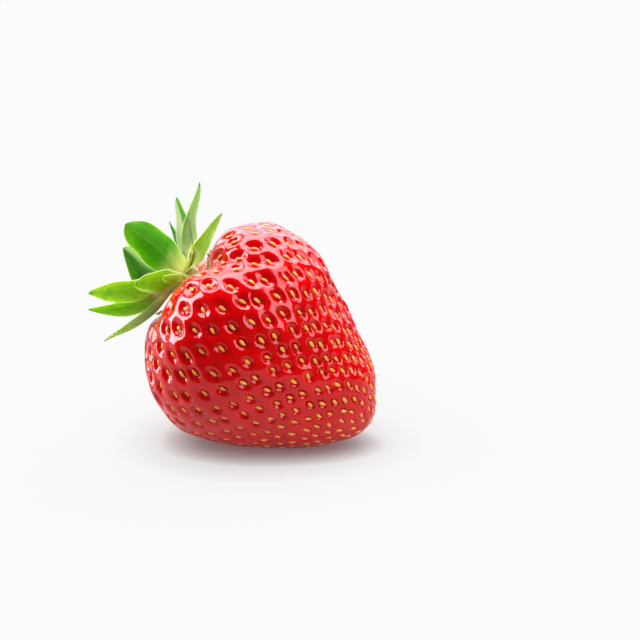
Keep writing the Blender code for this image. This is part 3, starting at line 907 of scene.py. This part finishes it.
class STRAWBERRY_OT_calyx(bpy.types.Operator):
    """Build the calyx: the hub and its blades"""

    bl_idname = "strawberry.calyx"
    bl_label = "Calyx"

    def execute(self, context):
        settings = context.scene.strawberry_calyx
        blades = [self.build_blade(settings.thickness, Blade(*row)) for row in SEPALS]
        made = join_pieces(blades, "calyx_blades")
        made.data.shade_smooth()
        finish_piece(made, "calyx", "calyx_green", self.blade_material(settings))
        self.build_hub()
        return {"FINISHED"}

    @staticmethod
    def build_blade(thickness, blade):
        """A sheet that thins to its margin and its end."""
        deselect_all()
        bpy.ops.mesh.primitive_grid_add(x_subdivisions=10, y_subdivisions=26, size=2, calc_uvs=True)
        made = take_new("blade")
        flat = coordinates(made.data)
        share, place = (flat[:, 1] + 1) / 2, flat[:, 0]
        set_coordinates(made.data, blade.points(share, place, thickness))
        set_values(made.data, "tone", np.full(len(flat), blade.tone))
        set_values(made.data, "bleached", blade.paleness(share, place))
        body = (1 - MARGIN_THINNING * np.abs(place) ** 1.5) * (1 - END_THINNING * share)
        set_weights(made, "body", np.clip(body, THINNEST, 1))
        apply_modifier(
            made, "SOLIDIFY", thickness=thickness, offset=0, vertex_group="body", use_even_offset=False
        )
        apply_modifier(made, "SUBSURF", levels=1, render_levels=1)
        return made

    @classmethod
    def blade_material(cls, settings):
        """Green with sunk veins, a pale base made lighter still as painted light, a pale side that on the
        lowest blade is painted light, a pale thin margin and a dried end.
        """
        material, graph, shader = new_material("blade")
        uv = graph.add("ShaderNodeSeparateXYZ", {0: graph.add("ShaderNodeUVMap").outputs["UV"]}).outputs
        share, place = uv["Y"], graph.math("MULTIPLY_ADD", uv["X"], 2.0, -1.0)
        off = graph.math("ABSOLUTE", place)
        surface = add_speckle(graph, 0.7)
        wobble = graph.math("MULTIPLY_ADD", surface["Patches"], 0.06, -0.03)
        veins = cls.veins(graph, share, place, wobble)
        base = graph.remap(graph.math("ADD", share, graph.times(wobble, 1.2)), 0.44, 0.08)
        margin = graph.times(graph.remap(off, 0.92, 0.99), 0.6)
        dried = graph.times(graph.remap(share, 0.92, 0.99), 0.75)
        green = cls.mottled_green(graph, settings, share, place, surface["Patches"])
        for amount, colour in (
            (graph.times(veins, VEIN_SHARE), VEIN_COLOUR),
            # a blade's own paler side, and on the lowest blade painted light
            (graph.attribute("bleached"), settings.bleach_and_painted_light_colour),
            # the blades' own pale base, made lighter still as painted light
            (base, settings.pale_base_and_light_colour),
            (margin, settings.margin_colour),
            (dried, DRIED_COLOUR),
        ):
            green = graph.mix(amount, green, colour)
        graph.fill(shader, {
            "Base Color": green,
            "Roughness": graph.remap(surface["Patches"], 0, 1, 0.45, 0.6, "LINEAR"),
            "Specular IOR Level": 0.08,
            "Subsurface Weight": 0.6,
            "Subsurface Radius": (0.6, 1.0, 0.15),
            "Subsurface Scale": 1.1 * MM,
        })
        height = graph.math("SUBTRACT", graph.times(surface["Grain"], 0.5), veins)
        add_bump(graph, shader, height, 0.5, 0.09 * MM)
        return material

    @staticmethod
    def veins(graph, share, place, wobble):
        """How much of a vein is there: the midrib, side veins that slant to the end, and long fine ones."""
        off = graph.math("ABSOLUTE", place)
        run = graph.math("SUBTRACT", graph.times(share, SIDE_VEINS), graph.times(off, SIDE_VEIN_SLANT))
        run = graph.math("ADD", run, graph.times(wobble, 5.0))
        ridge = graph.math("ABSOLUTE", graph.math("SUBTRACT", graph.math("FRACT", run), 0.5))
        long_run = graph.math("ABSOLUTE", graph.math("SINE", graph.times(place, LONG_VEINS)))
        found = {
            "side": graph.times(graph.remap(ridge, 0.10, 0.0), graph.remap(off, 1.0, 0.5)),
            "midrib": graph.remap(graph.math("ADD", off, wobble), 0.09, 0.02),
            "long": graph.remap(long_run, 0.28, 0.0),
        }
        side, midrib, long = (graph.times(found[kind], share) for kind, share in VEIN_STRENGTHS.items())
        return graph.math("MAXIMUM", graph.math("MAXIMUM", side, midrib), long)

    @staticmethod
    def mottled_green(graph, settings, share, place, patches):
        """The blade's tone, with patches that turn half into streaks along it towards its base."""
        tone = graph.attribute("tone")
        ramp = graph.add("ShaderNodeValToRGB", {"Fac": tone})
        colours = (settings.pale_colour, settings.young_colour, settings.green_colour, settings.dark_colour)
        for number, colour in enumerate(colours):
            if number in (1, 2):
                ramp.color_ramp.elements.new(number / 3)
            ramp.color_ramp.elements[number].color = rgba(colour)
        stretched = graph.add("ShaderNodeCombineXYZ", {0: graph.times(place, 3.5), 1: share, 2: tone})
        streaks = graph.remap(graph.noise(stretched.outputs[0], 3.0, 3.0), 0.32, 0.68)
        streaked = graph.remap(share, 1.0, 0.6, 0.0, 0.5)
        patches = graph.math("SUBTRACT", graph.mix(streaked, patches, streaks), 0.5)
        green = ramp.outputs["Color"]
        green = graph.mix(graph.remap(patches, 0.0, 0.5, 0.0, 0.35), green, GREEN_PATCHES)
        darker = graph.mix(1.0, green, GREEN_SHADE, "MULTIPLY")
        return graph.mix(graph.remap(patches, 0.0, -0.5, 0.0, 0.6), green, darker)

    @classmethod
    def build_hub(cls):
        """A low dome, ribbed where the blades leave it."""
        deselect_all()
        bpy.ops.mesh.primitive_uv_sphere_add(segments=96, ring_count=32, radius=1)
        made = take_new("calyx_hub")
        ball = coordinates(made.data)
        around = np.arctan2(ball[:, 1], ball[:, 0])
        out = np.hypot(ball[:, 0], ball[:, 1])
        ribs = np.zeros(len(ball))
        for angle, *_ in SEPALS:
            rib = np.exp(-((turned_away(around, math.radians(angle)) / HUB_RIB) ** 2))
            ribs = np.maximum(ribs, rib)
        radius = HUB_RADIUS * out**0.75 * (0.9 + 0.12 * ribs)
        middle, half = (HUB_TOP + HUB_FOOT) / 2, (HUB_TOP - HUB_FOOT) / 2
        height = middle + half * np.sign(ball[:, 2]) * np.abs(ball[:, 2]) ** 0.8 * (0.9 + 0.1 * ribs)
        set_coordinates(made.data, neck_point(radius, around, height))
        turn_faces_out(made)
        made.data.shade_smooth()
        finish_piece(made, "calyx", "calyx_green", cls.hub_material())

    @staticmethod
    def hub_material():
        material, graph, shader = new_material("hub")
        surface = add_speckle(graph, 0.8)
        colour = graph.mix(surface["Patches"], HUB_COLOUR, HUB_PATCHES)
        colour = graph.mix(graph.times(surface["Specks"], 0.5), colour, HUB_SPECKS)
        graph.fill(shader, {
            "Base Color": colour,
            "Roughness": 0.5,
            "Subsurface Weight": 0.3,
            "Subsurface Scale": 0.6 * MM,
        })
        add_bump(graph, shader, surface["Grain"], 0.5, 0.08 * MM)
        return material


class STRAWBERRY_OT_stamens(bpy.types.Operator):
    """Build the ring of withered stamens between the calyx and the fruit"""

    bl_idname = "strawberry.stamens"
    bl_label = "Stamens"

    def execute(self, context):
        settings = context.scene.strawberry_calyx
        draw = np.random.default_rng(41)
        sides, rings = 6, 9
        share = np.linspace(0, 1, rings)
        ball, knob_faces = ball_pattern(8, 6)
        knob = ball * ANTHER_HALF_SIZE
        threads, knobs = [], []
        # each thread comes out from under the hub, sways, and lies over the skin with its anther at its end
        for number in range(settings.stamens):
            angle = (number + draw.uniform(-0.3, 0.3)) * 2 * math.pi / settings.stamens
            radius = STAMEN_ROOT + draw.uniform(*STAMEN_LENGTHS) * np.sin(share * 1.35)
            height = 0.75 * MM + 0.25 * MM * np.sin(share * 3 + draw.uniform(0, 3))
            sway = angle + draw.uniform(-0.25, 0.25) * share**2
            line = clear_of_skin(neck_point(radius, sway, height), 0)
            line = self.lowered(line, 0.3 * MM + 0.5 * MM * draw.uniform(0, 1) * share)
            threads.append(tube_points(line, STAMEN_RADIUS * (1 - 0.45 * share), sides))
            ahead = unit(line[-1] - line[-2])
            side = unit(np.cross(ahead, TIP))
            knobs.append(line[-1] + knob @ np.stack([side, np.cross(ahead, side), ahead]))
        # filaments and anthers: their own pale colours, made lighter as painted light where they lie in shade
        for name, points, faces, material, colour in (
            ("stamens", threads, tube_faces(rings, sides), "dry_filament", settings.stamen_and_light_colour),
            ("anthers", knobs, knob_faces, "dry_anther", settings.anther_and_light_colour),
        ):
            made = mesh_object(name, np.concatenate(points), copies(faces, len(points[0]), len(points)))
            finish_piece(made, "stamen_ring", "stamen", self.material(material, colour))
        return {"FINISHED"}

    @staticmethod
    def lowered(line, above):
        """The line, laid this far over the skin."""
        direction = unit(line - MIDDLE)
        return MIDDLE + direction * (resting_reach(direction) + above)[:, None]

    @staticmethod
    def material(name, colour):
        material, graph, shader = new_material(name)
        surface = add_speckle(graph, 0.5)
        mixed = graph.mix(surface["Patches"], colour, [0.85 * part for part in colour])
        graph.fill(shader, {"Base Color": mixed, "Roughness": 0.7})
        add_bump(graph, shader, surface["Grain"], 0.5, 0.04 * MM)
        return material


class STRAWBERRY_OT_stem(bpy.types.Operator):
    """Build the short stem with its cut end"""

    bl_idname = "strawberry.stem"
    bl_label = "Stem"

    def execute(self, context):
        sides = 40
        shaft = [(1.0 + 0.05 * math.sin(9 * share), share) for share in np.linspace(0.26, 0.92, 12)]
        rings = [*STEM_FOOT, *shaft, *STEM_END]
        turn = np.arange(sides) * 2 * math.pi / sides
        points = []
        for radius, share in rings:
            ridges = 1 + 0.05 * np.cos(7 * turn + 2 * share)
            height = HUB_TOP - STEM_SUNK + share * (STEM_SUNK + STEM_HEIGHT)
            lean = STEM_LEAN * fade(share, 0.2, 1.0)
            points.append(neck_point(STEM_RADIUS * radius * ridges, turn, height) + TOP * lean)
        made = mesh_object("stem", np.concatenate(points), tube_faces(len(rings), sides))
        turn_faces_out(made)
        cut = np.arange(len(rings)) >= len(rings) - STEM_CUT_RINGS
        set_values(made.data, "cut", np.repeat(cut, sides))
        finish_piece(made, "stem_stub", "stem_green", self.material(context.scene.strawberry_calyx))
        return {"FINISHED"}

    @staticmethod
    def material(settings):
        material, graph, shader = new_material("stem")
        surface = add_speckle(graph, 0.8)
        colour = graph.mix(surface["Patches"], settings.stem_colour, STEM_PATCHES)
        colour = graph.mix(graph.attribute("cut"), colour, CUT_COLOUR)
        graph.fill(shader, {"Base Color": colour, "Roughness": 0.55})
        add_bump(graph, shader, surface["Grain"], 0.5, 0.08 * MM)
        return material


# ---------------------------------------------------------------- stage

# Each soft light: azimuth, elevation, turn about its own middle, width and height as seen from the
# fruit, all in degrees, its share of the light, and what it lights: the floor, the fruit, only the
# fruit's gloss, or all of the fruit but its gloss
SOFT_LIGHTS = (
    (180, 68, 0, 62, 44, 0.95, "fruit"),
    (180, 24, 0, 80, 40, 0.4, "gloss"),
    (68, 36, 30, 36, 62, 0.54, "fruit"),
    (-50, 30, 0, 60, 60, 0.05, "fill"),
    (-108, 14, 0, 26, 56, 1.3, "fruit"),
    (-60, 72, 0, 80, 60, 0.5, "floor"),
    (150, 62, 0, 60, 60, 0.28, "floor"),
)
LIGHT_DISTANCE = 3.0
LIGHT_TINT = (0.96, 0.98, 1.06)

# A painted shadow under the fruit, in two shades: how far each reaches, and the floor's glow in its darkest
# corner, tinted pink as painted light thrown back from the fruit
PAINTED_FLOOR_SHADOWS = ((5 * MM, (0.30, 0.15, 0.15)), (11 * MM, (0.72, 0.67, 0.67)))

# In the fruit's gloss the floor is partly dim as far as the first line in front of the fruit, and wholly
# dim beyond the second, as if it were a small table in a dim room
DIM_FLOOR = (0.06, 0.06, 0.06)
DIM_SHARE_NEAR = 0.3
DIM_LINES = (-40 * MM, -46 * MM)

BACKDROP = (0.955, 0.955, 0.955)

# What the camera aims at: this far from the fruit's middle towards +X and up in the picture
AIM_ASIDE = 9.79 * MM
AIM_UP = 4.36 * MM


def direction_of(azimuth, elevation):
    """Unit vector at an azimuth from the front, towards +X, and an elevation, in degrees."""
    a, e = math.radians(azimuth), math.radians(elevation)
    return np.array([math.sin(a) * math.cos(e), -math.cos(a) * math.cos(e), math.sin(e)])


class STRAWBERRY_OT_stage(bpy.types.Operator):
    """Set up the floor, the soft light and the camera"""

    bl_idname = "strawberry.stage"
    bl_label = "Stage"

    def execute(self, context):
        settings = context.scene.strawberry_stage
        deselect_all()
        bpy.ops.mesh.primitive_plane_add(size=settings.floor_size)
        floor = take_new("floor")
        floor.data.materials.append(self.floor_material(settings))
        self.light(context, settings, self.receivers(floor))
        self.room(context, settings)
        self.camera(context, settings)
        return {"FINISHED"}

    @staticmethod
    def floor_material(settings):
        """White and glowing, with a painted shadow under the fruit, whose gloss finds it bright only close
        by.
        """
        material, graph, shader = new_material("floor")
        # painted shadow: the glow darkens where the fruit closes in the space over the floor
        close, wide = (graph.mix(graph.openness(within), shade, WHITE) for within, shade in PAINTED_FLOOR_SHADOWS)
        graph.fill(shader, {
            "Base Color": rgba(settings.floor_colour),
            "Roughness": 1.0,
            "Specular IOR Level": 0.0,
            "Emission Color": graph.mix(1.0, close, wide, "MULTIPLY"),
            "Emission Strength": settings.floor_glow,
        })
        material.cycles.emission_sampling = "NONE"
        place = graph.add("ShaderNodeSeparateXYZ", {0: graph.object_coordinates()}).outputs["Y"]
        dim_share = graph.remap(place, *DIM_LINES, DIM_SHARE_NEAR, 1.0)
        glossy = graph.add("ShaderNodeLightPath").outputs["Is Glossy Ray"]
        dim = graph.add("ShaderNodeEmission", {"Color": rgba(DIM_FLOOR)})
        inputs = {0: graph.times(dim_share, glossy), 1: shader.outputs[0], 2: dim.outputs[0]}
        mixed = graph.add("ShaderNodeMixShader", inputs)
        graph.put(material.node_tree.nodes["Material Output"].inputs["Surface"], mixed.outputs[0])
        return material

    @staticmethod
    def receivers(floor):
        """For each target of a light, a collection that includes or leaves out the floor."""
        found = {}
        for target in ("fruit", "gloss", "fill", "floor"):
            found[target] = bpy.data.collections.new(f"{target}_light")
            found[target].objects.link(floor)
            state = "INCLUDE" if target == "floor" else "EXCLUDE"
            found[target].collection_objects[0].light_linking.link_state = state
        return found

    @staticmethod
    def light(context, settings, receivers):
        """Soft rectangles of light all round."""
        for number, (azimuth, elevation, turn, width, height, share, target) in enumerate(SOFT_LIGHTS):
            ahead = Vector(direction_of(azimuth, elevation))
            level = Vector(direction_of(azimuth + 90, 0))
            upright = Matrix((level, ahead.cross(level), ahead)).transposed()
            turned = Matrix.Rotation(math.radians(-turn), 3, ahead) @ upright
            data = bpy.data.lights.new(f"soft_light_{number}", "AREA")
            data.shape = "RECTANGLE"
            data.size = 2 * LIGHT_DISTANCE * math.tan(math.radians(width / 2))
            data.size_y = 2 * LIGHT_DISTANCE * math.tan(math.radians(height / 2))
            data.energy = settings.light * share * math.pi * data.size * data.size_y
            if target != "floor":
                data.color = LIGHT_TINT
            lamp = bpy.data.objects.new(data.name, data)
            lamp.matrix_world = Matrix.Translation(Vector(MIDDLE) + ahead * LIGHT_DISTANCE) @ turned.to_4x4()
            lamp.visible_camera = False
            lamp.visible_glossy = target in ("fruit", "gloss")
            lamp.visible_diffuse = target != "gloss"
            lamp.light_linking.receiver_collection = receivers[target]
            context.scene.collection.objects.link(lamp)

    @staticmethod
    def room(context, settings):
        """A dim room, in which the camera sees plain white behind the floor."""
        world = bpy.data.worlds.new("studio")
        world.use_nodes = True
        context.scene.world = world
        graph = Graph(world.node_tree)
        camera_ray = graph.add("ShaderNodeLightPath").outputs["Is Camera Ray"]
        colour = graph.mix(camera_ray, [settings.ambient] * 3, BACKDROP)
        graph.put(world.node_tree.nodes["Background"].inputs["Color"], colour)

    @staticmethod
    def camera(context, settings):
        data = bpy.data.cameras.new("camera")
        data.lens = settings.lens
        camera = bpy.data.objects.new("camera", data)
        context.scene.collection.objects.link(camera)
        context.scene.camera = camera
        away = direction_of(0, math.degrees(settings.elevation))
        upward = np.cross(np.array([1.0, 0, 0]), -away)
        aim = MIDDLE + np.array([AIM_ASIDE, 0, 0]) + AIM_UP * upward
        distance = settings.view_width * settings.lens / data.sensor_width
        camera.location = aim + away * distance
        camera.rotation_euler = Vector(-away).to_track_quat("-Z", "Y").to_euler()
        data.clip_start, data.clip_end = 0.01, 40
        context.scene.view_settings.view_transform = "Standard"


# ---------------------------------------------------------------- panel and registration

SETTINGS = {
    "strawberry_fruit": FruitSettings,
    "strawberry_calyx": CalyxSettings,
    "strawberry_stage": StageSettings,
}
BUILDERS = (
    STRAWBERRY_OT_skin,
    STRAWBERRY_OT_achenes,
    STRAWBERRY_OT_calyx,
    STRAWBERRY_OT_stamens,
    STRAWBERRY_OT_stem,
    STRAWBERRY_OT_stage,
)


class STRAWBERRY_PT_panel(bpy.types.Panel):
    """Lists the builders and their settings"""

    bl_label = "Strawberry"
    bl_idname = "STRAWBERRY_PT_panel"
    bl_space_type = "VIEW_3D"
    bl_region_type = "UI"
    bl_category = "Strawberry"

    def draw(self, context):
        for builder in BUILDERS:
            self.layout.operator(builder.bl_idname)
        for name in SETTINGS:
            settings = getattr(context.scene, name)
            column = self.layout.column(align=True)
            for setting in settings.__annotations__:
                column.prop(settings, setting)


CLASSES = (*SETTINGS.values(), *BUILDERS, STRAWBERRY_PT_panel)


def register():
    for each in CLASSES:
        bpy.utils.register_class(each)
    for name, group in SETTINGS.items():
        setattr(bpy.types.Scene, name, PointerProperty(type=group))


def unregister():
    for name in SETTINGS:
        delattr(bpy.types.Scene, name)
    for each in reversed(CLASSES):
        bpy.utils.unregister_class(each)


def main():
    register()
    bpy.ops.strawberry.skin()
    bpy.ops.strawberry.achenes()
    bpy.ops.strawberry.calyx()
    bpy.ops.strawberry.stamens()
    bpy.ops.strawberry.stem()
    bpy.ops.strawberry.stage()


if __name__ == "__main__":
    main()
